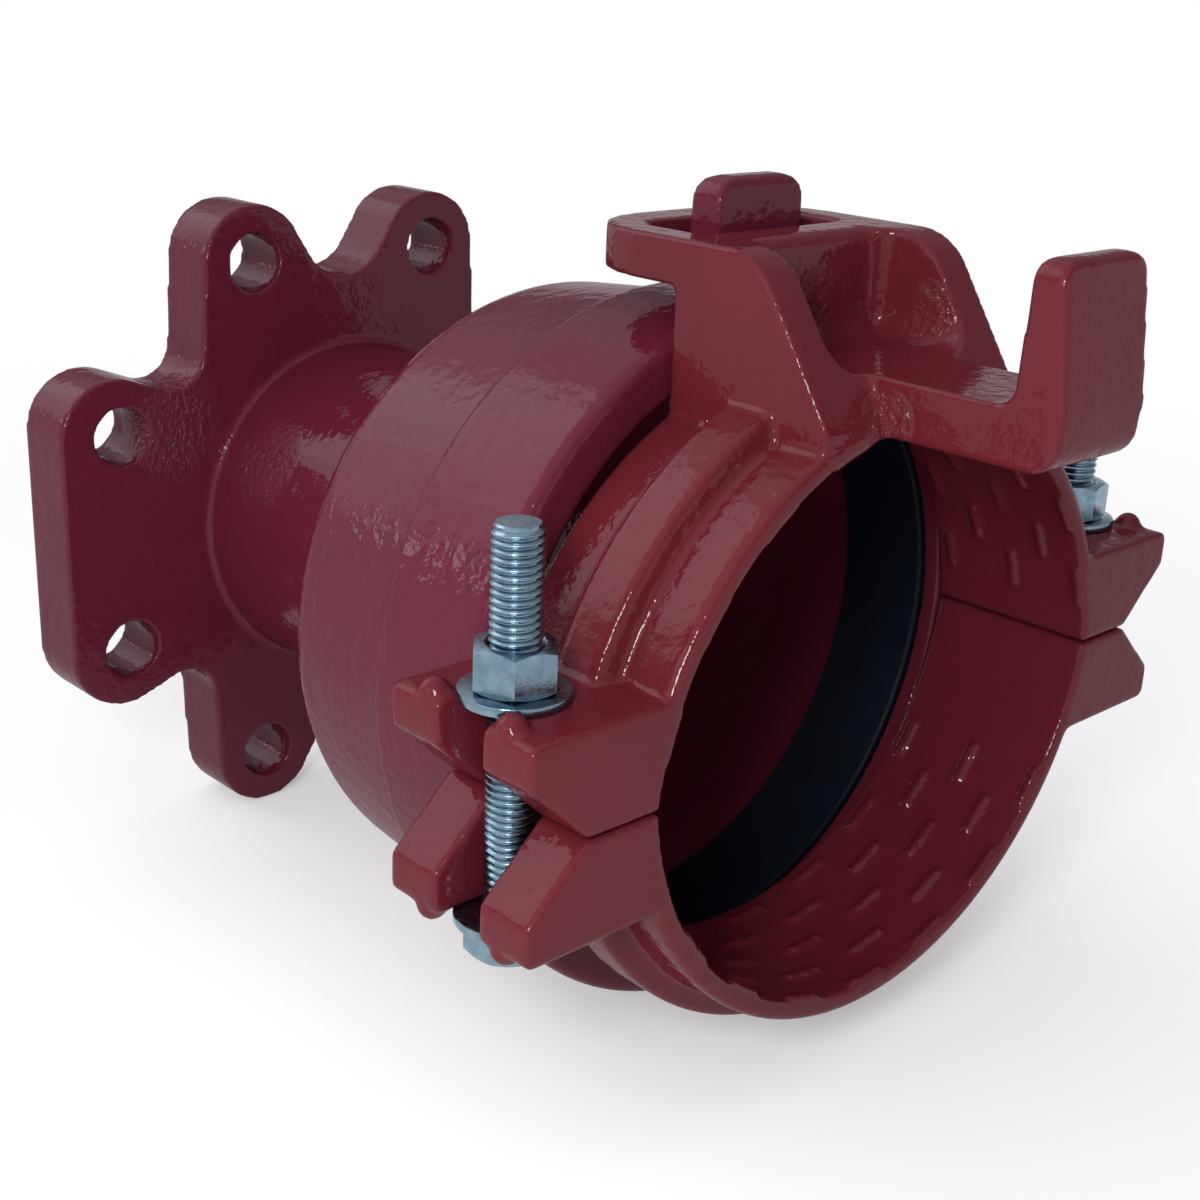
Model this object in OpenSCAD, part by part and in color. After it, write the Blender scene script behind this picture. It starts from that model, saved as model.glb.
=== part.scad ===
// Restrained flange adapter. One end is an eight-hole flange, the other a gasketed bell with a
// two-piece clamp ring that grips a plain pipe and is drawn together by two long bolts.
// The pipe axis is X, up is Z, and the origin is the centre of the flange's mating face.
// The clamp is drawn closed, with no pipe in it, so the centres of its two arcs lie off the axis.

/* [Flange] */
// Diameter of the bolt circle
bolt_circle_d = 190.5; // [176:0.5:206]
// Diameter of each bolt hole
flange_hole_d = 19.05; // [14:0.05:24]
// Thickness of the flange
flange_t = 24; // [14:0.5:28]
// Radius of the lobe round each bolt hole
lobe_r = 19; // [16:0.5:22]
// Half of the flange's width between its straight sides
side_half_w = 109.3; // [106:0.1:112]
// Distance from the axis to the floor of the top and bottom notches
notch_floor = 81; // [76:0.5:85]
// Radius of the top and bottom notches
notch_r = 17.5; // [12:0.5:18]
// Distance from the axis to the floor of the four corner notches
corner_floor = 80; // [78:0.5:84]
// Radius of the four corner notches
corner_r = 11.5; // [8:0.5:12]
// Angle from the level centre line to the corner notches
corner_angle = 41.5; // [41:0.5:47]

/* [Neck] */
// Radius of the waterway through the flange and neck
waterway_r = 50; // [42:0.5:54]
// Wall of the neck
neck_wall = 7; // [5:0.5:10]
// Length of the straight neck in front of the flange
neck_len = 67.9; // [50:0.1:90]
// Fillet between the neck and the flange
neck_fillet_r = 1.5; // [0.5:0.5:8]

/* [Bell] */
// Outside radius of the pipe that the bell takes
pipe_r = 87.65; // [84:0.05:92]
// Gap round the pipe in the bell
socket_clear = 0.85; // [0.5:0.05:2]
// How much the bell's bore narrows behind the pipe, which is what stops the pipe
stop_step = 4; // [2:0.5:8]
// Depth of the bell from its end face to where its bore begins to narrow
socket_depth = 63; // [55:1:75]
// Depth of the gasket groove below the bell's bore
seat_depth = 8; // [6:0.5:10]
// Distance from the end face to the far side of the gasket groove
seat_len = 35.7; // [31:0.1:42]
// Thickness of the front wall that holds the gasket in its groove
front_wall_t = 6.2; // [4:0.1:8]
// Gap between the pipe and the edge of the front wall
mouth_clear = 1.75; // [1.2:0.05:3]
// Wall of the bell round its mouth
mouth_wall = 7.1; // [5:0.1:10]
// Length of the bell from its shoulder to its end face
bell_len = 88.4; // [82:0.1:105]
// How much the bell narrows from its mouth to its shoulder
bell_taper = 9; // [6:0.1:12]
// Distance from the shoulder to the rear edge of the band round the mouth
band_at = 46.5; // [34:0.5:56]
// How much that band narrows from the mouth to its rear edge
band_taper = 1.6; // [0:0.1:3]
// Height of the step at the band's rear edge
step_h = 3; // [1:0.1:4]
// Radius of the bell's rounded front edge
mouth_round_r = 3.5; // [1:0.1:3.9]

/* [Post] */
// Thickness of the post along the pipe
post_t = 12; // [8:0.5:14]
// Width of the post across the pipe
post_w = 35; // [24:0.5:40]
// How far the post stands back from the bell's end face
post_back = 5.9; // [4:0.1:9]
// How far the post rises above the loop round it
post_rise = 12.6; // [6:0.2:18]

/* [Gasket] */
// How much tighter than the pipe the gasket's lip is
gasket_squeeze = 0.7; // [0:0.05:1.5]
// Gap between the gasket and the walls of its groove
seat_clear = 0.3; // [0.1:0.05:0.6]

/* [Clamp ring] */
// Gap between the bell's end face and the clamp
clamp_gap = 0.4; // [0.2:0.1:4]
// Length of the clamp ring along the pipe
clamp_len = 53.5; // [48:0.1:60]
// Gap between the pipe and the clamp's bore when they are concentric
pad_clear = 2.65; // [2:0.05:4]
// Wall of the clamp ring
clamp_wall = 5.7; // [4:0.1:9]
// How far each arc's centre lies past the axis when the clamp is closed
closed_offset = 9.7; // [6:0.1:11]
// Gap between the two halves at the parting faces
parting_gap = 0.6; // [0.3:0.1:2]
// Height of the raised rib round the ring
rib_h = 6.7; // [3:0.1:10]
// Width of that rib along the pipe
rib_w = 14.5; // [8:0.5:20]
// Distance from the ring's rear face to the rib
rib_at = 20.7; // [14:0.1:26]

/* [Gripping dashes] */
// Height of each dash
dash_h = 1.5; // [0.5:0.1:1.9]
// Width of each dash along the pipe
dash_w = 3; // [1.5:0.1:5]
// Length of each dash round the pipe, in degrees
dash_deg = 8.6; // [4:0.2:12]
// Angle between the dashes of a row
dash_pitch_deg = 18; // [15:1:24]
// Distance between rows along the pipe
dash_row_pitch = 11.4; // [9:0.1:11.6]
// Distance from the clamp's front face back to the first row
dash_front = 2.2; // [1.6:0.1:6]

/* [Ears and bolts] */
// Distance from the outside of the ring to each bolt's axis
bolt_out = 18; // [16:0.5:24]
// Height of each ear above the parting plane
ear_h = 27.5; // [22:0.5:34]
// Height of the ear's upright tip
ear_tip_h = 10.5; // [7:0.5:14]
// How far the ear reaches out past the bolt's axis
ear_reach = 16.5; // [15:0.5:20]
// How far the ear's corner on the parting plane lies inside the bolt's axis
ear_waist = 1.5; // [0:0.5:5]
// Distance that the ears stand in from the ring's rear face
ear_inset = 2.9; // [0:0.1:4]
// Width of the fork's slot
fork_slot_w = 15.8; // [14:0.1:18]
// Radius of the nubs that hold each washer
nub_r = 4; // [2.5:0.1:4.2]
// Diameter of the clamp bolts
bolt_d = 12.7; // [10:0.1:13.4]
// Length of the clamp bolts under the head
bolt_len = 99.5; // [88:0.5:115]
// Width across the flats of the nuts and bolt heads
hex_af = 19.05; // [17:0.05:21]
// Angle by which the nuts as tightened are turned from a corner along the pipe
nut_turn = 41.4; // [0:0.2:60]
// Height of the nuts
nut_h = 11.1; // [8:0.1:14]
// Height of the bolt heads
head_h = 8; // [6:0.1:11]
// Outside diameter of the washers
washer_d = 27; // [24:0.5:27.5]
// Thickness of the washers
washer_t = 2.5; // [1.5:0.1:4]
// Gap between a nut's bore and its bolt
thread_clear = 0.08; // [0.02:0.01:0.1]

/* [Bracket] */
// Height of the bracket's top above the bell's end
bracket_rise = 18.8; // [15:0.2:26]
// Half of the bracket's width
bracket_half_w = 39.5; // [34:0.5:46]
// Thickness of the side walls and of the loop's side bars
side_wall_t = 12; // [8:0.5:15]
// Height of the loop's bars
loop_h = 12; // [8:0.5:14]
// Width of the loop's rear bar
loop_bar_w = 13.5; // [10:0.5:20]
// Radius of the loop's outer rear corners
loop_corner_r = 24; // [12:1:30]
// Gap behind the post in the loop
loop_gap_rear = 8; // [3:0.5:12]
// Thickness of the cross wall in front of the loop
cross_wall_t = 12.4; // [8:0.1:16]
// Length of the side walls' level top, from the clamp's rear face
side_top_len = 26.9; // [20:0.1:30]
// Radius of the side walls' top corner
side_corner_r = 18; // [4:0.5:24]
// Radius of the pocket's inner corners
pocket_r = 8; // [4:0.5:11]
// Radius where the pocket's side walls meet its floor
pocket_floor_r = 9; // [2:0.5:12]
// Radius of the cross wall's top edge
cross_edge_r = 4; // [2:0.5:6]
// Height of the channel floor above the closed ring
floor_rise = 7.7; // [5:0.1:12]
// How far below the channel floor the side walls' slope ends
wedge_foot = 10.5; // [6:0.5:14]
// Thickness of the tongue under the channel
tongue_t = 14.5; // [10:0.5:16]
// Half of the width of the tongue and horn
horn_half_w = 17.5; // [10:0.5:22]
// Distance from the clamp's front face to the horn's inner face
horn_at = 34.4; // [26:0.2:44]
// Thickness of the horn at its foot
horn_foot_t = 14; // [8:0.2:16]
// Thickness of the horn at its top
horn_top_t = 8.2; // [5:0.2:10]
// How far the horn rises above the bracket's top
horn_rise = 6.5; // [0:0.5:12]

/* [Hidden] */
$fn = 96;
eps = 0.01;
round_steps = 5;

// Flange
line_inset = 0.05;
notch_fit = 0.98;
bolt_circle_r = bolt_circle_d / 2;
hole_near = bolt_circle_r * sin(22.5);
hole_far = bolt_circle_r * cos(22.5);
top_lobe = [hole_near, hole_far];
side_lobe = [side_half_w - lobe_r, hole_near];
corner_way = [cos(corner_angle), sin(corner_angle)];
notch_fit_r = min(notch_r, clear_radius([0, notch_floor], [0, 1], top_lobe));
corner_fit_r = min(
    corner_r,
    clear_radius(corner_floor * corner_way, corner_way, top_lobe),
    clear_radius(corner_floor * corner_way, corner_way, side_lobe)
);
notch = [0, notch_floor + notch_fit_r];
corner_notch = (corner_floor + corner_fit_r) * corner_way;

// Neck and bell, along X and out from the axis
neck_r = waterway_r + neck_wall;
neck_end_x = flange_t + neck_len;
socket_r = pipe_r + socket_clear;
seat_r = socket_r + seat_depth;
bell_end_r = seat_r + mouth_wall;
shoulder_r = bell_end_r - bell_taper;
shoulder_x = neck_end_x + shoulder_r - neck_r;
bell_end_x = shoulder_x + bell_len;
band_x = shoulder_x + band_at;
band_r = bell_end_r - band_taper;
stop_x = bell_end_x - socket_depth;
stop_r = socket_r - stop_step;
seat_x = bell_end_x - seat_len;
front_wall_x = bell_end_x - front_wall_t;
mouth_r = pipe_r + mouth_clear;
mouth_chamfer = 0.8;
flare_x = neck_end_x + neck_wall / 3;

// Post and bracket heights
bracket_top = bell_end_r + bracket_rise;
loop_bottom = bracket_top - loop_h;
post_front_x = bell_end_x - post_back;
post_rear_x = post_front_x - post_t;
post_top = bracket_top + post_rise;
post_root = seat_r + mouth_wall / 4;
post_draft = 1;

// Clamp ring
clamp_x = bell_end_x + clamp_gap;
clamp_end_x = clamp_x + clamp_len;
pad_r = pipe_r + pad_clear;
ring_r = pad_r + clamp_wall;
rib_r = ring_r + rib_h;
rib_x = clamp_x + rib_at;
rib_slope = 1.5;
dash_rear = 2.5;
dash_run = clamp_len - dash_front - dash_w - dash_rear;
dash_rows = [for (i = [0:floor(dash_run / dash_row_pitch)]) i];

// Ears and bolts
bolt_y = ring_r + bolt_out;
ear_x = clamp_x + ear_inset;
ear_len = clamp_end_x - ear_x;
bolt_x = ear_x + ear_len / 2;
ear_tip_y = bolt_y + ear_reach;
ear_waist_y = bolt_y - ear_waist;
ear_root_y = ring_r - 12;
nub_y = ear_tip_y - nub_r;
nub_dx = (fork_slot_w / 2 + ear_len / 2) / 2 - 3;
seat_z = ear_h + washer_t;
hex_chamfer = 1.3;
bolt_chamfer = 1.2;
washer_hole_r = bolt_d / 2 + 0.45;

// Bracket
floor_z = ring_r - closed_offset + floor_rise;
tongue_bottom = floor_z - tongue_t;
slot_rear_x = post_rear_x - loop_gap_rear;
slot_front_x = clamp_x - 1.5;
loop_rear_x = slot_rear_x - loop_bar_w;
slot_half_w = bracket_half_w - side_wall_t;
cross_front_x = clamp_x + cross_wall_t;
horn_x = clamp_end_x + horn_at;
horn_top = bracket_top + horn_rise;
horn_lean = 1.6;
wedge_inset = 0.8;

body_paint = "#5c1f2e";
clamp_paint = "#6b2529";
rubber_black = "#10141b";
zinc = "#93a5ad";

// Unit vector from a to b.
function toward(a, b) = (b - a) / norm(b - a);

// Points of the arc that rounds corner b, between neighbours a and c, with radius r.
function corner_arc(a, b, c, r) =
    let (
        u = toward(b, a),
        v = toward(b, c),
        half = acos(u * v) / 2,
        centre = b + toward([0, 0], u + v) * r / sin(half),
        p = b + u * r / tan(half) - centre,
        q = b + v * r / tan(half) - centre,
        start = atan2(p[1], p[0]),
        turn = atan2(p[0] * q[1] - p[1] * q[0], p * q)
    )
    [for (i = [0:round_steps])
        let (angle = start + turn * i / round_steps)
        centre + r * [cos(angle), sin(angle)]];

// Outline through [x, y, radius] points, with each corner rounded by its own radius.
function rounded(points) =
    let (count = len(points), xy = [for (p = points) [p[0], p[1]]])
    [for (i = [0:count - 1])
        each points[i][2] == 0
            ? [xy[i]]
            : corner_arc(xy[(i + count - 1) % count], xy[i], xy[(i + 1) % count], points[i][2])];

// Radius at which a notch that opens towards way, with its floor at floor_at, all but meets a lobe.
function clear_radius(floor_at, way, lobe) =
    notch_fit * (pow(norm(lobe - floor_at), 2) - pow(lobe_r, 2)) / (2 * (lobe_r + way * (lobe - floor_at)));

// Ends of the line that touches circle a on one side and circle b on the other, drawn
// slightly inside both, so that it crosses them.
// side is 1 where the line leaves a to the left of the way from a to b, and -1 to the right.
function tangent_points(a, a_r, b, b_r, side) =
    let (
        along = toward(a, b),
        a_in = a_r - line_inset,
        b_in = b_r - line_inset,
        turn = side * acos((a_in + b_in) / norm(b - a)),
        out = [along[0] * cos(turn) - along[1] * sin(turn), along[0] * sin(turn) + along[1] * cos(turn)]
    )
    [a + a_in * out, b - b_in * out];

// Turns an [x, radius] outline round the pipe axis.
module turned(points) {
    rotate([90, 0, 90]) rotate_extrude() polygon([for (p = points) [p[1], p[0]]]);
}

// Extrudes a Y-Z shape along X, from x0 over length.
module along_x(x0, length) {
    translate([x0, 0, 0]) rotate([90, 0, 90]) linear_extrude(height = length) children();
}

// Extrudes an X-Z shape along Y, symmetric about the pipe's vertical plane.
module across(half_width) {
    translate([0, half_width, 0]) rotate([90, 0, 0]) linear_extrude(height = 2 * half_width) children();
}

// Repeats its child on both sides of the pipe's vertical plane.
module both_sides() {
    children();
    mirror([0, 1, 0]) children();
}

// Points of a list in the opposite order, mirrored in Z.
function mirrored_back(points) = [for (i = [len(points) - 1:-1:0]) [points[i][0], -points[i][1]]];

// The flange seen along the pipe: eight lobes, joined to six notches by lines that touch the
// round parts, and two straight sides.
module flange_outline() {
    notch_to_top = tangent_points(notch, notch_fit_r, top_lobe, lobe_r, -1);
    top_to_corner = tangent_points(top_lobe, lobe_r, corner_notch, corner_fit_r, 1);
    corner_to_side = tangent_points(corner_notch, corner_fit_r, side_lobe, lobe_r, -1);
    upper = [
        each notch_to_top,
        top_lobe,
        each top_to_corner,
        corner_notch,
        each corner_to_side,
        side_lobe,
        [side_half_w - line_inset, hole_near]
    ];
    one_side = concat([notch], upper, mirrored_back(upper), [-notch]);
    other_side = [for (i = [len(one_side) - 2:-1:1]) [-one_side[i][0], one_side[i][1]]];
    difference() {
        union() {
            polygon(concat(one_side, other_side));
            for (sx = [-1, 1]) for (sz = [-1, 1]) {
                translate([sx * top_lobe[0], sz * top_lobe[1]]) circle(r = lobe_r);
                translate([sx * side_lobe[0], sz * side_lobe[1]]) circle(r = lobe_r);
            }
        }
        for (sz = [-1, 1]) {
            translate(sz * notch) circle(r = notch_fit_r);
            for (sx = [-1, 1])
                translate([sx * corner_notch[0], sz * corner_notch[1]]) circle(r = corner_fit_r);
        }
    }
}

// Outer surface of the neck and bell, closed on the axis.
module neck_and_bell() {
    turned(rounded([
        [0, 0, 0],
        [0, neck_r + neck_fillet_r, 0],
        [flange_t, neck_r + neck_fillet_r, 0],
        [flange_t + neck_fillet_r, neck_r, neck_fillet_r],
        [neck_end_x, neck_r, 16],
        [shoulder_x, shoulder_r, 10],
        [band_x, band_r - step_h, step_h / 3],
        [band_x, band_r, step_h / 3],
        [bell_end_x, bell_end_r, mouth_round_r],
        [bell_end_x, 0, 0]
    ]));
}

// Everything inside the casting: waterway, flare, narrowing socket, gasket groove and mouth.
module body_bore() {
    turned([
        [-1, 0],
        [-1, waterway_r],
        [flare_x, waterway_r],
        [flare_x + stop_r - waterway_r, stop_r],
        [stop_x, socket_r],
        [seat_x, socket_r],
        [seat_x, seat_r],
        [front_wall_x, seat_r],
        [front_wall_x, mouth_r],
        [bell_end_x - mouth_chamfer, mouth_r],
        [bell_end_x, mouth_r + mouth_chamfer],
        [bell_end_x + 1, mouth_r + mouth_chamfer],
        [bell_end_x + 1, 0]
    ]);
}

// Upright post on the bell, narrower towards its rounded top.
module post() {
    half_w = post_w / 2;
    intersection() {
        along_x(post_rear_x - 2, post_t + 4)
            polygon(rounded([
                [-half_w, post_root, 0],
                [half_w, post_root, 0],
                [half_w - post_draft, post_top, 7],
                [-half_w + post_draft, post_top, 7]
            ]));
        across(half_w + 1)
            polygon(rounded([
                [post_rear_x, post_root, 0],
                [post_front_x, post_root, 0],
                [post_front_x - post_draft, post_top, 3],
                [post_rear_x + post_draft, post_top, 3]
            ]));
    }
}

module flanged_body() {
    color(body_paint)
    difference() {
        union() {
            along_x(0, flange_t) flange_outline();
            neck_and_bell();
            post();
        }
        body_bore();
        for (i = [0:7])
            rotate([22.5 + 45 * i, 0, 0])
                translate([-1, bolt_circle_r, 0])
                    rotate([0, 90, 0]) cylinder(d = flange_hole_d, h = flange_t + 2);
    }
}

// Rubber ring in its groove, with a lip at its rear that the pipe stretches.
module gasket() {
    lip_r = pipe_r - gasket_squeeze;
    outer_r = seat_r - seat_clear;
    end_x = front_wall_x - seat_clear;
    color(rubber_black)
    turned(rounded([
        [seat_x, outer_r, 0.8],
        [seat_x, lip_r, 1.2],
        [(seat_x + end_x) / 2, lip_r, 2],
        [end_x, lip_r + 1.2, 1.5],
        [end_x, outer_r, 0.8]
    ]));
}

// Full ring of the clamp about its own centre, with its rib.
module clamp_ring() {
    turned(rounded([
        [clamp_x, pad_r, 1.2],
        [clamp_x, ring_r, 1.6],
        [rib_x - rib_slope, ring_r, 3],
        [rib_x, rib_r, 1.6],
        [rib_x + rib_w, rib_r, 1.6],
        [rib_x + rib_w + rib_slope, ring_r, 1],
        [clamp_end_x, ring_r, 2.4],
        [clamp_end_x, pad_r, 1.2]
    ]));
}

// The clamp's bore, cut through whatever is added to the ring.
module clamp_bore() {
    turned([
        [clamp_x - 1, 0],
        [clamp_x - 1, pad_r],
        [clamp_end_x + eps, pad_r],
        [clamp_end_x + eps, 0]
    ]);
}

// Rows of raised dashes round the bore of one half, every second row shifted by half a pitch.
// first_deg is the angle from the parting plane to the first dash of an unshifted row.
module gripping_dashes(first_deg) {
    for (row = dash_rows) {
        shift = row % 2 == 0 ? 0 : dash_pitch_deg / 2;
        row_x = clamp_end_x - dash_front - dash_row_pitch * row;
        count = floor((180 - 2 * (first_deg + shift)) / dash_pitch_deg + 0.01);
        spare = 180 - 2 * (first_deg + shift) - count * dash_pitch_deg;
        for (i = [0:count])
            rotate([first_deg + shift + spare / 2 + dash_pitch_deg * i - dash_deg / 2, 0, 0])
                rotate([90, 0, 90]) rotate_extrude(angle = dash_deg)
                    polygon([
                        [pad_r + eps * 50, row_x - dash_w / 2],
                        [pad_r - dash_h, row_x - dash_w / 4],
                        [pad_r - dash_h, row_x + dash_w / 4],
                        [pad_r + eps * 50, row_x + dash_w / 2]
                    ]);
    }
}

// Two-pronged ear above the parting plane, on the +Y side, before its slot is cut.
module ear_block() {
    along_x(ear_x, ear_len)
        polygon(rounded([
            [ear_root_y, parting_gap / 2, 0],
            [ear_waist_y, parting_gap / 2, 2.5],
            [ear_tip_y, ear_h - ear_tip_h, 3],
            [ear_tip_y, ear_h, 2.5],
            [ear_root_y, ear_h, 0]
        ]));
    for (side = [-1, 1])
        translate([bolt_x + side * nub_dx, nub_y, ear_h]) sphere(r = nub_r, $fn = 32);
}

// Slot of the fork, open outwards, with a round end about the bolt.
module fork_slot() {
    translate([bolt_x, bolt_y, -1]) cylinder(d = fork_slot_w, h = ear_h + nub_r + 2);
    translate([bolt_x - fork_slot_w / 2, bolt_y, -1]) cube([fork_slot_w, ear_reach + 1, ear_h + nub_r + 2]);
}

// What both halves share, as the upper half: half ring, ears and dashes.
module half_clamp(first_dash_deg) {
    big = 2 * ear_tip_y;
    difference() {
        union() {
            difference() {
                translate([0, 0, -closed_offset]) clamp_ring();
                translate([clamp_x - 20, -big / 2, -big + parting_gap / 2])
                    cube([clamp_len + 40, big, big]);
            }
            both_sides() ear_block();
            children();
        }
        translate([0, 0, -closed_offset]) clamp_bore();
        both_sides() fork_slot();
    }
    translate([0, 0, -closed_offset]) gripping_dashes(first_dash_deg);
}

// Hollow between the bracket's walls, rounded at its floor and at its upright corners.
module bracket_pocket() {
    past_x = clamp_end_x + 1;
    past_z = bracket_top + 1;
    intersection() {
        across(slot_half_w)
            polygon(rounded([
                [cross_front_x, past_z, 0],
                [cross_front_x, floor_z, pocket_r],
                [past_x, floor_z, 0],
                [past_x, past_z, 0]
            ]));
        along_x(cross_front_x - 1, past_x - cross_front_x + 2)
            polygon(rounded([
                [-slot_half_w, floor_z, pocket_floor_r],
                [slot_half_w, floor_z, pocket_floor_r],
                [slot_half_w, past_z + 1, 0],
                [-slot_half_w, past_z + 1, 0]
            ]));
        translate([0, 0, floor_z - 1])
            linear_extrude(height = past_z - floor_z + 2)
                polygon(rounded([
                    [cross_front_x, -slot_half_w, pocket_r],
                    [past_x + 1, -slot_half_w, 0],
                    [past_x + 1, slot_half_w, 0],
                    [cross_front_x, slot_half_w, pocket_r]
                ]));
    }
}

// Cuts the rounding of the cross wall's top edge, over the pocket.
module cross_wall_edge() {
    across(slot_half_w - pocket_r / 2)
        polygon(rounded([
            [cross_front_x - cross_edge_r - 1, bracket_top, 0],
            [cross_front_x, bracket_top, cross_edge_r],
            [cross_front_x, bracket_top - cross_edge_r - 1, 0],
            [cross_front_x + 1, bracket_top - cross_edge_r - 1, 0],
            [cross_front_x + 1, bracket_top + 1, 0],
            [cross_front_x - cross_edge_r - 1, bracket_top + 1, 0]
        ]));
}

// Side walls and cross wall of the bracket: a wedge with its pocket hollowed out.
module bracket_walls() {
    root_z = ring_r - closed_offset - 30;
    front_x = clamp_end_x - wedge_inset;
    difference() {
        across(bracket_half_w)
            polygon(rounded([
                [clamp_x, root_z, 0],
                [clamp_x, bracket_top, 0],
                [clamp_x + side_top_len, bracket_top, side_corner_r],
                [front_x, floor_z - wedge_foot, 0],
                [front_x, root_z, 0]
            ]));
        bracket_pocket();
        cross_wall_edge();
    }
}

// Tongue under the channel and the horn that stands at its front end.
module tongue_and_horn() {
    tongue_rear_x = clamp_x + side_top_len / 2;
    intersection() {
        across(horn_half_w)
            polygon(rounded([
                [tongue_rear_x, tongue_bottom, 0],
                [horn_x + horn_foot_t - 1, tongue_bottom, 8],
                [horn_x + horn_foot_t, floor_z, 0],
                [horn_x + horn_lean + horn_top_t, horn_top, 2.5],
                [horn_x + horn_lean, horn_top, 2.5],
                [horn_x, floor_z, 5],
                [tongue_rear_x, floor_z, 0]
            ]));
        along_x(tongue_rear_x, horn_x + horn_foot_t + 2 - tongue_rear_x)
            polygon(rounded([
                [-horn_half_w, tongue_bottom - 1, 0],
                [horn_half_w, tongue_bottom - 1, 0],
                [horn_half_w, horn_top, 6],
                [-horn_half_w, horn_top, 6]
            ]));
    }
}

// Flat loop round the post, with large rounded corners at its rear.
module post_loop() {
    translate([0, 0, loop_bottom])
        linear_extrude(height = loop_h)
            difference() {
                polygon(rounded([
                    [clamp_x + 2, -bracket_half_w, 0],
                    [clamp_x + 2, bracket_half_w, 0],
                    [loop_rear_x, bracket_half_w, loop_corner_r],
                    [loop_rear_x, -bracket_half_w, loop_corner_r]
                ]));
                polygon(rounded([
                    [slot_front_x, -slot_half_w, 4],
                    [slot_front_x, slot_half_w, 4],
                    [slot_rear_x, slot_half_w, 7],
                    [slot_rear_x, -slot_half_w, 7]
                ]));
            }
}

module upper_clamp() {
    color(clamp_paint)
    half_clamp(dash_pitch_deg) {
        bracket_walls();
        tongue_and_horn();
        post_loop();
    }
}

module lower_clamp() {
    color(clamp_paint) mirror([0, 0, 1]) half_clamp(2 * dash_pitch_deg);
}

// Hexagonal prism from z = 0 to h, with its corners chamfered at the ends that are asked for.
module hexagon(h, chamfer_bottom, chamfer_top) {
    corner_r = hex_af / sqrt(3);
    low = chamfer_bottom ? hex_chamfer : 0;
    high = chamfer_top ? hex_chamfer : 0;
    intersection() {
        cylinder(r = corner_r, h = h, $fn = 6);
        rotate_extrude()
            polygon([
                [0, 0],
                [corner_r + 0.1 - 2 * low, 0],
                [corner_r + 0.1, low],
                [corner_r + 0.1, h - high],
                [corner_r + 0.1 - 2 * high, h],
                [0, h]
            ]);
    }
}

// Hex bolt with its head below the lower ear and its threaded end up.
module bolt() {
    r = bolt_d / 2;
    color(zinc)
    translate([bolt_x, bolt_y, -seat_z]) {
        translate([0, 0, -head_h]) hexagon(head_h, true, false);
        rotate_extrude()
            polygon([
                [0, -1],
                [r, -1],
                [r, bolt_len - bolt_chamfer],
                [r - bolt_chamfer, bolt_len],
                [0, bolt_len]
            ]);
    }
}

module nut() {
    color(zinc)
    translate([bolt_x, bolt_y, seat_z])
        difference() {
            rotate(nut_turn) hexagon(nut_h, true, true);
            translate([0, 0, -1]) cylinder(d = bolt_d + 2 * thread_clear, h = nut_h + 2);
        }
}

// Flat washer whose lower face is at z.
module washer(z) {
    color(zinc)
    translate([bolt_x, bolt_y, z])
        difference() {
            cylinder(d = washer_d, h = washer_t);
            translate([0, 0, -1]) cylinder(r = washer_hole_r, h = washer_t + 2);
        }
}

module near_side() {
    mirror([0, 1, 0]) children();
}

flanged_body();
gasket();
upper_clamp();
lower_clamp();
near_side() bolt();  // near_bolt
bolt();  // far_bolt
near_side() nut();  // near_nut
nut();  // far_nut
near_side() washer(ear_h);  // near_upper_washer
washer(ear_h);  // far_upper_washer
near_side() washer(-seat_z);  // near_lower_washer
washer(-seat_z);  // far_lower_washer
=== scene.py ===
"""Looks of the restrained flange adapter: cast and painted surfaces, zinc-plated fasteners, rubber gasket.

The castings are the CAD nodes themselves, rounded by modifiers, and the gasket is its CAD node as it is. The
bolts, nuts and washers are modelled here with their threads and chamfers, and stand for the plain CAD ones.
"""
import math

import bmesh
import bpy
from mathutils import Matrix, Vector


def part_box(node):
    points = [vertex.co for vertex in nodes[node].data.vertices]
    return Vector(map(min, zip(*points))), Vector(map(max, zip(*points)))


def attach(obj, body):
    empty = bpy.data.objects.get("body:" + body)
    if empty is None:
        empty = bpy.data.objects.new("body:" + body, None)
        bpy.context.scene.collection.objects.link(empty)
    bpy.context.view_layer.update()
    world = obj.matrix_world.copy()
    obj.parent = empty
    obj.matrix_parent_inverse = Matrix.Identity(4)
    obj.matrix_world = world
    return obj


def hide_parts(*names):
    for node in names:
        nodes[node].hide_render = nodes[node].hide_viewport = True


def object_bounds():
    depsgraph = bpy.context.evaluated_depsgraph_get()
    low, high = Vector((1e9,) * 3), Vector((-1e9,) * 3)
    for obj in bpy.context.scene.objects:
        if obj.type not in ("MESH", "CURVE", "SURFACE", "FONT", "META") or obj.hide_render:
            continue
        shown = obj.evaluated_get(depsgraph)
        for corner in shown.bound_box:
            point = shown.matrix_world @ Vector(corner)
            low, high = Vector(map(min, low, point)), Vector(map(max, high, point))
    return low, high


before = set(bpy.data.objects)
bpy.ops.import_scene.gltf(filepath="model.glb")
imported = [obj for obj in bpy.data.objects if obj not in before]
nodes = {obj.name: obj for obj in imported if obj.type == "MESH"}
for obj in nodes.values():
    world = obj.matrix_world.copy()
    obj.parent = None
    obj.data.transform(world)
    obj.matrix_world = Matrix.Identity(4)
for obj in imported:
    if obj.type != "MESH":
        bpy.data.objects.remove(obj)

MM = 0.001
cad_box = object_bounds()

# Camera, as fitted to the photograph
CAMERA_PLACE = Vector((0.5311, -0.3645, 0.1879))
CAMERA_AZIMUTH = -44.17
CAMERA_ELEVATION = 19.76
CAMERA_ROLL = 2.43
CAMERA_LENS = 53.8
CAMERA_SENSOR = 36
CAMERA_CLIP = (0.01, 50)

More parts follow.
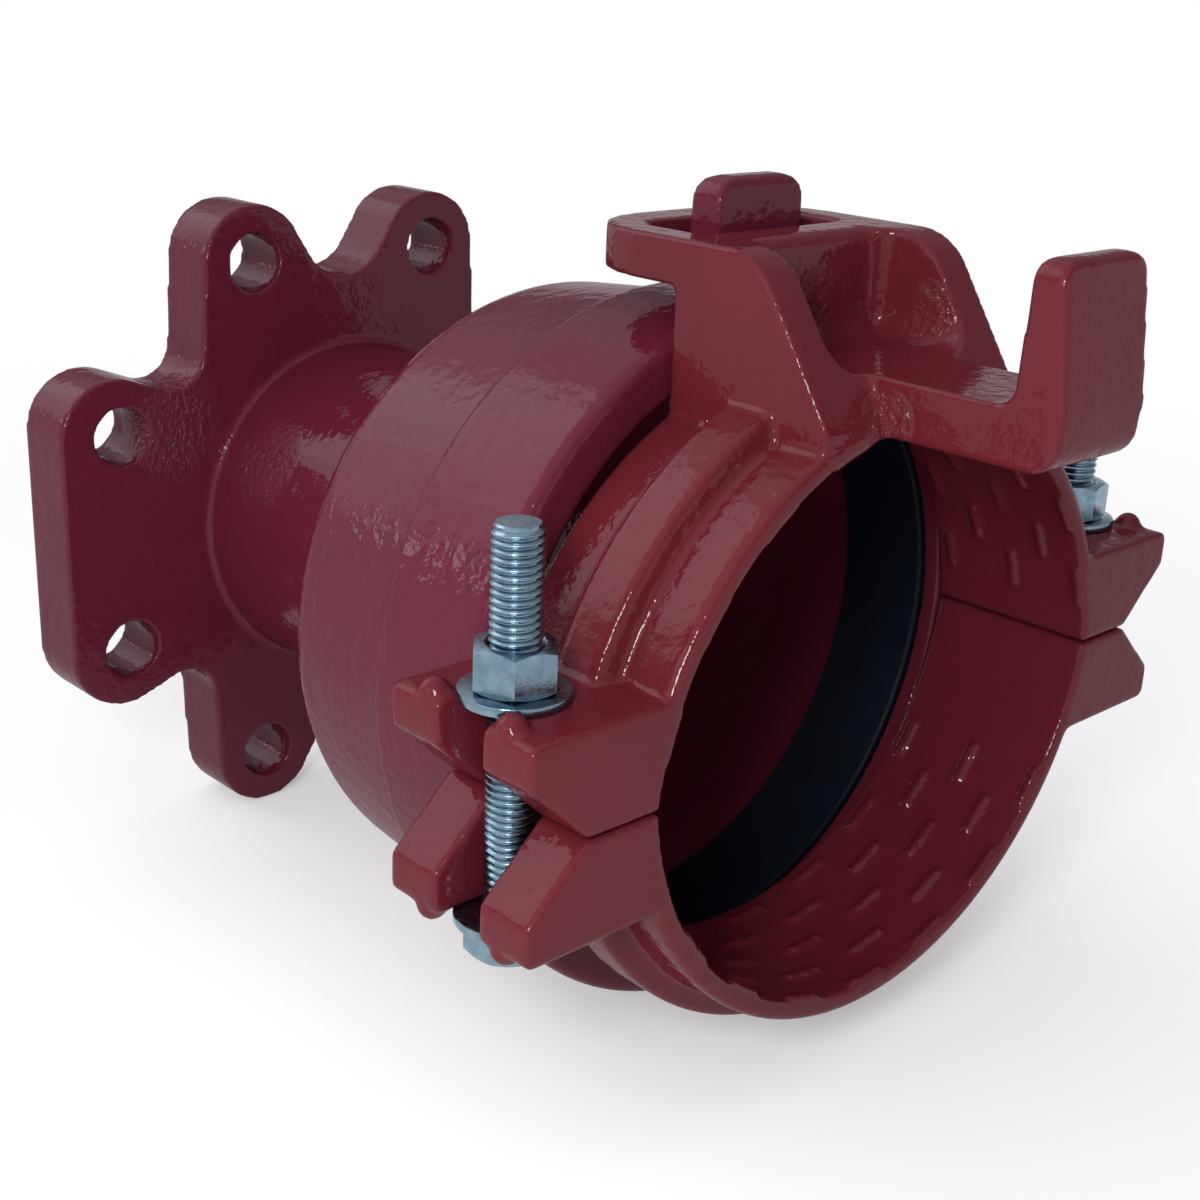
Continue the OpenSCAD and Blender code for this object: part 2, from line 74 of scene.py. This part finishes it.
# Castings
CAST_VOXEL = 1.0 * MM
CAST_SMOOTHING = 5
CAST_SMOOTHING_FACTOR = 0.5
MOST_TRIANGLES = 190000

# Fasteners
THREAD_PITCH = 25.4 / 13 * MM
THREAD_DEPTH = 1.05 * MM
THREAD_STEPS = 40
# How far the thread's rounded edges lie below its crest, and its end's rim below its root
CREST_DROP = 0.06 * MM
THREAD_END_DROP = 0.15 * MM
# How deep the thread starts in the bolt's head
THREAD_IN_HEAD = 1 * MM
BOLT_DIAMETER = 12.7 * MM
NUT_BORE = 12.86 * MM
NUT_COUNTERSINK = 0.8 * MM
NUT_TURN = math.radians(41.4)
HEX_STEPS = 96
HEX_ACROSS_FLATS = 19.05 * MM
HEX_FACE_SHARE = 0.97
HEX_CHAMFER_SLOPE = math.tan(math.radians(30))
WASHER_STEPS = 72
WASHER_HOLE = 13.6 * MM
WASHER_EDGE = 0.45 * MM
# Share of the washer's rounded edge at which its middle point lies
WASHER_EDGE_MIDDLE = 0.3
SHARP_DEGREES = 35
MERGE_DISTANCE = 0.0001 * MM

# Fine line cut round the clamp: its place along the pipe, the drop of the arcs' centres and the ring's radius
CLAMP_LINE_X = 233.0 * MM
CLAMP_ARC_DROP = 9.7 * MM
CLAMP_LINE_RADIUS = 96 * MM
CLAMP_LINE_DEPTH = 0.25 * MM
# Distances from the line's middle at which its flank starts and ends, and the reach from the ring's radius
CLAMP_LINE_FLANK = (0.15 * MM, 0.55 * MM)
CLAMP_LINE_REACH = 1.5 * MM

# Colours, linear
BODY_RED = (0.091, 0.0098, 0.0225)
BODY_DEEP_RED = (0.078, 0.0083, 0.0192)
CLAMP_RED = (0.100, 0.0112, 0.0180)
CLAMP_DEEP_RED = (0.086, 0.0095, 0.0152)
ZINC = (0.12, 0.20, 0.26)
ZINC_CLOUD = (0.23, 0.32, 0.38)
RUBBER_BLACK = (0.0015, 0.003, 0.0065)
RUBBER_BLOOM = (0.0035, 0.006, 0.0125)
FLOOR_GREY = (0.93, 0.93, 0.935)
ROOM_TINT = (0.96, 0.95, 1.0)

# Noises as (scale, detail) or (scale, detail, roughness)
PAINT_CLOUDS = (14, 5, 0.6)
PAINT_SHEEN = (90, 3)
SAND_GRAINS = (420, 2, 0.6)
ZINC_CLOUDS = (220, 6, 0.65)
ZINC_SHEEN = (700, 4)
RUBBER_CLOUDS = (60, 4)
RUBBER_SHEEN = (240, 3)

# Reliefs as (noise scale, detail, height)
SLOW_WAVES = (38, 2, 0.6 * MM)
ORANGE_PEEL = (270, 2, 0.30 * MM)
PAINT_GRAIN = (900, 2, 0.03 * MM)
ZINC_PITS = (1500, 4, 0.03 * MM)
RUBBER_GRAIN = (800, 3, 0.04 * MM)
SAND_HEIGHT = 3.5 * MM

# Roughness, least and most
PAINT_ROUGHNESS = (0.34, 0.46)
ZINC_ROUGHNESS = (0.15, 0.32)
RUBBER_ROUGHNESS = (0.42, 0.58)
FLOOR_ROUGHNESS = 0.9

# Clear coat and specular levels
COAT_WEIGHT = 0.36
COAT_ROUGHNESS = 0.06
PAINT_SPECULAR = 0.0
RUBBER_SPECULAR = 0.12
FLOOR_SPECULAR = 0.1

# Places where grains of sand stand out, as balls of (x, y, z, radius), and the share of the radius in full
BODY_GRIT = [
    (24 * MM, -67 * MM, 36 * MM, 21 * MM),
    (45 * MM, -50.5 * MM, 27 * MM, 19 * MM),
]
CLAMP_GRIT = [
    (230.7 * MM, 3 * MM, 105.5 * MM, 9 * MM),
    (248 * MM, 27.5 * MM, 101 * MM, 10 * MM),
    (272 * MM, -17.5 * MM, 84 * MM, 8 * MM),
]
GRIT_FULL_SHARE = 0.45

# Floor: its size, and how it turns white between two distances from the object's middle
OBJECT_MIDDLE = Vector((0.15, 0, 0))
FLOOR_SIZE = 60
FLOOR_WHITE_SHARE = (0.35, 1.0)
FLOOR_WHITE_DISTANCE = (0.2, 0.9)

# Room: light of its parts, the ways to them as (azimuth, elevation), and their edges as cosines from the way
UP = Vector((0, 0, 1))
WALL_LIGHT = 0.4
WALL_TOP = (0.36, 0.50)
CEILING_LIGHT = (0.05, 0.75)
CEILING_WAY = (-130, 50)
CEILING_EDGE = (0.0, 0.85)
WINDOW_LIGHT = 1.6
WINDOW_WAY = (-157, 33)
WINDOW_EDGE = (0.905, 0.955)
BACKDROP_LIGHT = 1.04
BACKDROP_TOP = (0.17, 0.27)


class Nodes:
    """Short ways to add and link the nodes of a material or of the world."""

    def __init__(self, owner, coordinates="Object"):
        self.tree = owner.node_tree
        self.coords = self.add("ShaderNodeTexCoord").outputs[coordinates]

    def find(self, kind):
        return next(node for node in self.tree.nodes if node.type == kind)

    def add(self, kind, **settings):
        node = self.tree.nodes.new(kind)
        for key, value in settings.items():
            setattr(node, key, value)
        return node

    def link(self, source, target):
        self.tree.links.new(source, target)

    def noise(self, scale, detail, roughness=0.5):
        node = self.add("ShaderNodeTexNoise")
        node.inputs["Scale"].default_value = scale
        node.inputs["Detail"].default_value = detail
        node.inputs["Roughness"].default_value = roughness
        self.link(self.coords, node.inputs["Vector"])
        return node.outputs["Fac"]

    def span(self, value, low, high, from_low=0.3, from_high=0.7, interpolation="LINEAR"):
        """low to high as the value goes from from_low to from_high, by default over a noise's usual reach."""
        node = self.add("ShaderNodeMapRange", interpolation_type=interpolation)
        node.inputs["From Min"].default_value = from_low
        node.inputs["From Max"].default_value = from_high
        node.inputs["To Min"].default_value = low
        node.inputs["To Max"].default_value = high
        self.link(value, node.inputs["Value"])
        return node.outputs["Result"]

    def blend(self, factor, first, second):
        node = self.add("ShaderNodeMix", data_type="RGBA")
        self.link(factor, node.inputs[0])
        node.inputs[6].default_value = (*first, 1.0)
        node.inputs[7].default_value = (*second, 1.0)
        return node.outputs[2]

    def math(self, operation, first, second=None):
        node = self.add("ShaderNodeMath", operation=operation)
        for socket, value in zip(node.inputs, (first, second)):
            if isinstance(value, (int, float)):
                socket.default_value = value
            elif value is not None:
                self.link(value, socket)
        return node.outputs[0]

    def times(self, first, second):
        return self.math("MULTIPLY", first, second)

    def plus(self, first, second):
        return self.math("ADD", first, second)

    def minus(self, first, second):
        return self.math("SUBTRACT", first, second)

    def absolute(self, value):
        return self.math("ABSOLUTE", value)

    def square(self, value):
        return self.math("POWER", value, 2.0)

    def split(self):
        node = self.add("ShaderNodeSeparateXYZ")
        self.link(self.coords, node.inputs[0])
        return node.outputs

    def measure(self, operation, vector):
        """DISTANCE of the coordinates from a point, or their DOT_PRODUCT with a vector."""
        node = self.add("ShaderNodeVectorMath", operation=operation)
        self.link(self.coords, node.inputs[0])
        node.inputs[1].default_value = vector
        return node.outputs["Value"]

    def towards(self, way, edge, low, high):
        """low to high as the view turns towards a way, between the two cosines of the edge."""
        return self.span(self.measure("DOT_PRODUCT", way), low, high, *edge, interpolation="SMOOTHSTEP")

    def near_any(self, balls):
        """1 in the middle of any (x, y, z, radius) ball, falling to 0 at its edge."""
        total = None
        for *centre, radius in balls:
            share = self.span(self.measure("DISTANCE", centre), 1.0, 0.0, GRIT_FULL_SHARE * radius, radius)
            total = share if total is None else self.math("MAXIMUM", total, share)
        return total

    def bump(self, height, distance, below=None):
        node = self.add("ShaderNodeBump")
        node.inputs["Distance"].default_value = distance
        self.link(height, node.inputs["Height"])
        if below is not None:
            self.link(below, node.inputs["Normal"])
        return node.outputs["Normal"]

    def relief(self, scale, detail, height, below=None):
        return self.bump(self.noise(scale, detail), height, below)

    def seen_directly(self):
        """1 for rays from the camera, a mirror or glass, and 0 for light that falls on the object."""
        path = self.add("ShaderNodeLightPath").outputs
        reflected = self.math("MAXIMUM", path["Is Camera Ray"], path["Is Glossy Ray"])
        return self.math("MAXIMUM", reflected, path["Is Transmission Ray"])


def new_material(name):
    material = bpy.data.materials.new(name)
    material.use_nodes = True
    n = Nodes(material)
    return material, n.find("BSDF_PRINCIPLED"), n


def paint_material(name, colour, deep_colour, grit, line=None):
    """Gloss paint over a sand casting: slow waves, orange peel and a fine grain under a clear coat.

    grit lists the balls inside which grains of sand stand out, and line gives the height of a cut line.
    """
    material, shader, n = new_material(name)
    clouds = n.span(n.noise(*PAINT_CLOUDS), 0.0, 1.0)
    n.link(n.blend(clouds, deep_colour, colour), shader.inputs["Base Color"])
    n.link(n.span(n.noise(*PAINT_SHEEN), *PAINT_ROUGHNESS), shader.inputs["Roughness"])
    shader.inputs["Specular IOR Level"].default_value = PAINT_SPECULAR
    normal = n.relief(*ORANGE_PEEL, below=n.relief(*SLOW_WAVES))
    if line:
        normal = n.bump(line(n), CLAMP_LINE_DEPTH, normal)
    n.link(n.relief(*PAINT_GRAIN, below=normal), shader.inputs["Normal"])
    sand = n.times(n.noise(*SAND_GRAINS), n.near_any(grit))
    n.link(n.bump(sand, SAND_HEIGHT, normal), shader.inputs["Coat Normal"])
    shader.inputs["Coat Weight"].default_value = COAT_WEIGHT
    shader.inputs["Coat Roughness"].default_value = COAT_ROUGHNESS
    return material


def clamp_line(n):
    """Height of the clamp ring's surface beside its cut line: 0 in the line and 1 off it."""
    x, y, z = n.split()
    upper = n.math("GREATER_THAN", z, 0.0)
    drop = n.times(n.minus(upper, 0.5), 2 * CLAMP_ARC_DROP)
    radius = n.math("SQRT", n.plus(n.square(y), n.square(n.plus(z, drop))))
    off_line = n.span(n.absolute(n.minus(x, CLAMP_LINE_X)), 0.0, 1.0, *CLAMP_LINE_FLANK)
    off_ring = n.math("GREATER_THAN", n.absolute(n.minus(radius, CLAMP_LINE_RADIUS)), CLAMP_LINE_REACH)
    return n.math("MAXIMUM", off_line, off_ring)


def zinc_material():
    """Bright zinc plating: bluish metal with faint clouds and fine pitting."""
    material, shader, n = new_material("zinc")
    shader.inputs["Metallic"].default_value = 1.0
    clouds = n.span(n.noise(*ZINC_CLOUDS), 0.0, 1.0)
    n.link(n.blend(clouds, ZINC, ZINC_CLOUD), shader.inputs["Base Color"])
    n.link(n.span(n.noise(*ZINC_SHEEN), *ZINC_ROUGHNESS), shader.inputs["Roughness"])
    n.link(n.relief(*ZINC_PITS), shader.inputs["Normal"])
    return material


def rubber_material():
    """Moulded black rubber with a slight bluish bloom."""
    material, shader, n = new_material("gasket_rubber")
    n.link(n.blend(n.noise(*RUBBER_CLOUDS), RUBBER_BLACK, RUBBER_BLOOM), shader.inputs["Base Color"])
    shader.inputs["Specular IOR Level"].default_value = RUBBER_SPECULAR
    n.link(n.span(n.noise(*RUBBER_SHEEN), *RUBBER_ROUGHNESS), shader.inputs["Roughness"])
    n.link(n.relief(*RUBBER_GRAIN), shader.inputs["Normal"])
    return material


def floor_material():
    """Pale matt floor that keeps the object's shadow near it and fades to plain white farther away."""
    material, shader, n = new_material("floor")
    shader.inputs["Base Color"].default_value = (*FLOOR_GREY, 1.0)
    shader.inputs["Roughness"].default_value = FLOOR_ROUGHNESS
    shader.inputs["Specular IOR Level"].default_value = FLOOR_SPECULAR
    share = n.span(n.measure("DISTANCE", OBJECT_MIDDLE), *FLOOR_WHITE_SHARE, *FLOOR_WHITE_DISTANCE)
    mix = n.add("ShaderNodeMixShader")
    n.link(n.times(share, n.seen_directly()), mix.inputs[0])
    n.link(shader.outputs[0], mix.inputs[1])
    n.link(n.add("ShaderNodeEmission").outputs[0], mix.inputs[2])
    n.link(mix.outputs[0], n.find("OUTPUT_MATERIAL").inputs["Surface"])
    return material


def dress(obj, material):
    obj.data.materials.clear()
    obj.data.materials.append(material)


def triangle_count(obj):
    evaluated = obj.evaluated_get(bpy.context.evaluated_depsgraph_get())
    return sum(len(p.vertices) - 2 for p in evaluated.data.polygons)


def cast_surface(node, material):
    """Rounds a casting's edges and inner corners by remeshing it finely and smoothing the result."""
    obj = nodes[node]
    remesh = obj.modifiers.new("cast_remesh", "REMESH")
    remesh.mode = "VOXEL"
    remesh.voxel_size = CAST_VOXEL
    remesh.use_smooth_shade = True
    smooth = obj.modifiers.new("cast_smooth", "SMOOTH")
    smooth.factor = CAST_SMOOTHING_FACTOR
    smooth.iterations = CAST_SMOOTHING
    dress(obj, material)
    count = triangle_count(obj)
    if count > MOST_TRIANGLES:
        decimate = obj.modifiers.new("cast_decimate", "DECIMATE")
        decimate.ratio = MOST_TRIANGLES / count


def link_object(name, data):
    obj = bpy.data.objects.new(name, data)
    bpy.context.scene.collection.objects.link(obj)
    return obj


def finish_mesh(name, bm):
    bmesh.ops.remove_doubles(bm, verts=bm.verts, dist=MERGE_DISTANCE)
    bmesh.ops.recalc_face_normals(bm, faces=bm.faces)
    mesh = bpy.data.meshes.new(name)
    bm.to_mesh(mesh)
    bm.free()
    mesh.polygons.foreach_set("use_smooth", [True] * len(mesh.polygons))
    mesh.set_sharp_from_angle(angle=math.radians(SHARP_DEGREES))
    return link_object(name, mesh)


def add_rings(bm, rings):
    """Joins rings of points, each ring closed and of the same length, into a band of quads."""
    rows = [[bm.verts.new(p) for p in ring] for ring in rings]
    for low, high in zip(rows, rows[1:]):
        for i in range(len(low)):
            j = (i + 1) % len(low)
            bm.faces.new((low[i], low[j], high[j], high[i]))
    return rows


def turned_point(centre, radius, angle, z):
    return (centre[0] + radius * math.cos(angle), centre[1] + radius * math.sin(angle), z)


def circle(centre, radius, z, steps):
    angles = [2 * math.pi * i / steps for i in range(steps)]
    return [turned_point(centre, radius, angle, z) for angle in angles]


def hexagon(centre, turn, height):
    """A hexagon with a corner at the angle turn, whose points lie at the height that their radius gives."""
    points = []
    for i in range(HEX_STEPS):
        angle = 2 * math.pi * i / HEX_STEPS
        from_flat = ((angle - turn) % (math.pi / 3)) - math.pi / 6
        radius = HEX_ACROSS_FLATS / 2 / math.cos(from_flat)
        points.append(turned_point(centre, radius, angle, height(radius)))
    return points


def hex_rings(centre, low, high, turn=0.0):
    """Sides of a hexagon with 30-degree chamfers turned on both ends, from face to face."""
    face_radius = HEX_ACROSS_FLATS / 2 * HEX_FACE_SHARE

    def chamfer(radius):
        return max(0.0, radius - face_radius) * HEX_CHAMFER_SLOPE

    return [
        circle(centre, face_radius, low, HEX_STEPS),
        hexagon(centre, turn, lambda radius: low + chamfer(radius)),
        hexagon(centre, turn, lambda radius: high - chamfer(radius)),
        circle(centre, face_radius, high, HEX_STEPS),
    ]


def add_head(bm, centre, low, high):
    rows = add_rings(bm, hex_rings(centre, low, high))
    bm.faces.new(rows[0])
    bm.faces.new(rows[-1])


def add_nut(bm, centre, low, high, turn):
    """A hexagon with a plain bore, countersunk at both ends."""
    rings = hex_rings(centre, low, high, turn)
    bore = NUT_BORE / 2
    mouth = bore + NUT_COUNTERSINK
    profile = [(mouth, high), (bore, high - NUT_COUNTERSINK), (bore, low + NUT_COUNTERSINK), (mouth, low)]
    rings += [circle(centre, radius, z, HEX_STEPS) for radius, z in profile]
    add_rings(bm, rings + rings[:1])


def add_thread(bm, centre, low, high):
    """Right-hand helical thread from low to high, with its upper end chamfered and closed."""
    major_radius = BOLT_DIAMETER / 2
    minor_radius = major_radius - THREAD_DEPTH
    end_radius = minor_radius - THREAD_END_DROP
    # One turn's section, as (share of the pitch, radius)
    profile = [
        (0.00, minor_radius),
        (0.12, minor_radius),
        (0.44, major_radius - CREST_DROP),
        (0.50, major_radius),
        (0.62, major_radius),
        (0.68, major_radius - CREST_DROP),
    ]
    turns = math.ceil((high - low) / THREAD_PITCH) + 1
    rows = []
    for k in range(THREAD_STEPS * (turns + 1) + 1):
        angle = 2 * math.pi * k / THREAD_STEPS
        row = []
        for share, radius in profile:
            z = low + THREAD_PITCH * (k / THREAD_STEPS + share - 1)
            z = min(max(z, low), high)
            r = min(radius, end_radius + (high - z))
            row.append(bm.verts.new(turned_point(centre, r, angle, z)))
        rows.append(row)
    for k in range(len(rows) - 1 - THREAD_STEPS):
        # A section's last point meets the first point of the turn above
        near = rows[k] + rows[k + THREAD_STEPS][:1]
        far = rows[k + 1] + rows[k + 1 + THREAD_STEPS][:1]
        for j in range(len(profile)):
            corners = (near[j], far[j], far[j + 1], near[j + 1])
            if len({tuple(round(c, 8) for c in v.co) for v in corners}) > 2:
                bm.faces.new(corners)
    bm.faces.new([bm.verts.new(p) for p in circle(centre, end_radius, high, THREAD_STEPS)])


def replace(obj, node, body, material):
    dress(obj, material)
    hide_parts(node)
    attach(obj, body)


def make_bolt(side, material):
    node = f"{side}_bolt"
    low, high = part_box(node)
    centre = (low + high) / 2
    head_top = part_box(f"{side}_lower_washer")[0].z
    bm = bmesh.new()
    add_head(bm, centre, low.z, head_top)
    add_thread(bm, centre, head_top - THREAD_IN_HEAD, high.z)
    obj = finish_mesh(f"{side}_threaded_bolt", bm)
    replace(obj, node, "lower_half", material)


def make_nut(side, material):
    node = f"{side}_nut"
    low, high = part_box(node)
    bm = bmesh.new()
    turn = -NUT_TURN if side == "near" else NUT_TURN
    add_nut(bm, (low + high) / 2, low.z, high.z, turn)
    obj = finish_mesh(f"{side}_chamfered_nut", bm)
    replace(obj, node, f"{side}_nut_body", material)


def make_washer(side, level, material):
    node = f"{side}_{level}_washer"
    low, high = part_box(node)
    outer = (high.x - low.x) / 2
    inner = WASHER_HOLE / 2
    edge = WASHER_EDGE
    middle = WASHER_EDGE * WASHER_EDGE_MIDDLE
    # Half of the section, as (radius, distance from the nearer face)
    half = [
        (inner, edge / 2),
        (inner + edge / 2, 0),
        (outer - edge, 0),
        (outer - middle, middle),
        (outer, edge),
    ]
    profile = [(radius, low.z + rise) for radius, rise in half]
    profile += [(radius, high.z - rise) for radius, rise in reversed(half)]
    bm = bmesh.new()
    add_rings(bm, [circle((low + high) / 2, radius, z, WASHER_STEPS) for radius, z in profile + profile[:1]])
    obj = finish_mesh(f"{side}_{level}_round_washer", bm)
    replace(obj, node, f"{level}_half", material)


def direction(azimuth, elevation):
    azimuth, elevation = math.radians(azimuth), math.radians(elevation)
    return Vector((
        math.cos(elevation) * math.cos(azimuth),
        math.cos(elevation) * math.sin(azimuth),
        math.sin(elevation),
    ))


def soft_light(name, place, width, height, power, target):
    data = bpy.data.lights.new(name, "AREA")
    data.shape = "RECTANGLE"
    data.size = width
    data.size_y = height
    data.energy = power
    obj = link_object(name, data)
    obj.location = place
    obj.rotation_euler = (target - place).to_track_quat("-Z", "Y").to_euler()


def make_lamps():
    soft_light("key", Vector((0.1, -1.3, 0.55)), width=0.8, height=0.6, power=1.8, target=OBJECT_MIDDLE)
    soft_light("by_camera", Vector((0.50, -0.50, 0.28)), width=0.14, height=0.14, power=2.7,
               target=Vector((0.2, 0.02, 0)))
    soft_light("left", OBJECT_MIDDLE + 1.3 * direction(-143, 13), width=0.18, height=0.10, power=0.2,
               target=OBJECT_MIDDLE)


def make_camera():
    back = direction(CAMERA_AZIMUTH, CAMERA_ELEVATION)
    roll = math.radians(CAMERA_ROLL)
    level_right = UP.cross(back).normalized()
    level_up = back.cross(level_right)
    right = level_right * math.cos(roll) + level_up * math.sin(roll)
    up = level_up * math.cos(roll) - level_right * math.sin(roll)
    data = bpy.data.cameras.new("camera")
    data.lens = CAMERA_LENS
    data.sensor_width = CAMERA_SENSOR
    data.clip_start, data.clip_end = CAMERA_CLIP
    obj = link_object("camera", data)
    obj.matrix_world = Matrix.Translation(CAMERA_PLACE) @ Matrix((right, up, back)).transposed().to_4x4()
    bpy.context.scene.camera = obj


def make_floor():
    bm = bmesh.new()
    bmesh.ops.create_grid(bm, x_segments=1, y_segments=1, size=FLOOR_SIZE)
    mesh = bpy.data.meshes.new("floor")
    bm.to_mesh(mesh)
    bm.free()
    floor = link_object("floor", mesh)
    floor.location = (0, 0, cad_box[0][2])
    dress(floor, floor_material())


def make_world():
    """A pale room: dimmer walls, a ceiling lighter on the near left, and a window high up on that side.

    Seen directly, the foot of the walls is as white as the far floor, so the floor has no visible end.
    """
    world = bpy.data.worlds.new("studio")
    world.use_nodes = True
    bpy.context.scene.world = world
    n = Nodes(world, "Generated")
    above_wall = n.towards(UP, WALL_TOP, 0.0, 1.0)
    ceiling = n.times(above_wall, n.towards(direction(*CEILING_WAY), CEILING_EDGE, *CEILING_LIGHT))
    window = n.towards(direction(*WINDOW_WAY), WINDOW_EDGE, 0.0, WINDOW_LIGHT)
    room = n.plus(n.plus(ceiling, window), WALL_LIGHT)
    backdrop = n.times(n.towards(UP, BACKDROP_TOP, BACKDROP_LIGHT - WALL_LIGHT, 0.0), n.seen_directly())
    background = n.find("BACKGROUND")
    n.link(n.plus(room, backdrop), background.inputs["Strength"])
    background.inputs["Color"].default_value = (*ROOM_TINT, 1.0)


def dress_cad_nodes():
    body_paint = paint_material("body_paint", BODY_RED, BODY_DEEP_RED, BODY_GRIT)
    clamp_paint = paint_material("clamp_paint", CLAMP_RED, CLAMP_DEEP_RED, CLAMP_GRIT, clamp_line)
    cast_surface("flanged_body", body_paint)
    cast_surface("upper_clamp", clamp_paint)
    cast_surface("lower_clamp", clamp_paint)
    dress(nodes["gasket"], rubber_material())


def make_fasteners():
    zinc = zinc_material()
    for side in ("near", "far"):
        make_bolt(side, zinc)
        make_nut(side, zinc)
        for level in ("upper", "lower"):
            make_washer(side, level, zinc)


dress_cad_nodes()
make_fasteners()
make_floor()
make_world()
make_camera()
make_lamps()
bpy.context.scene.view_settings.view_transform = "Standard"
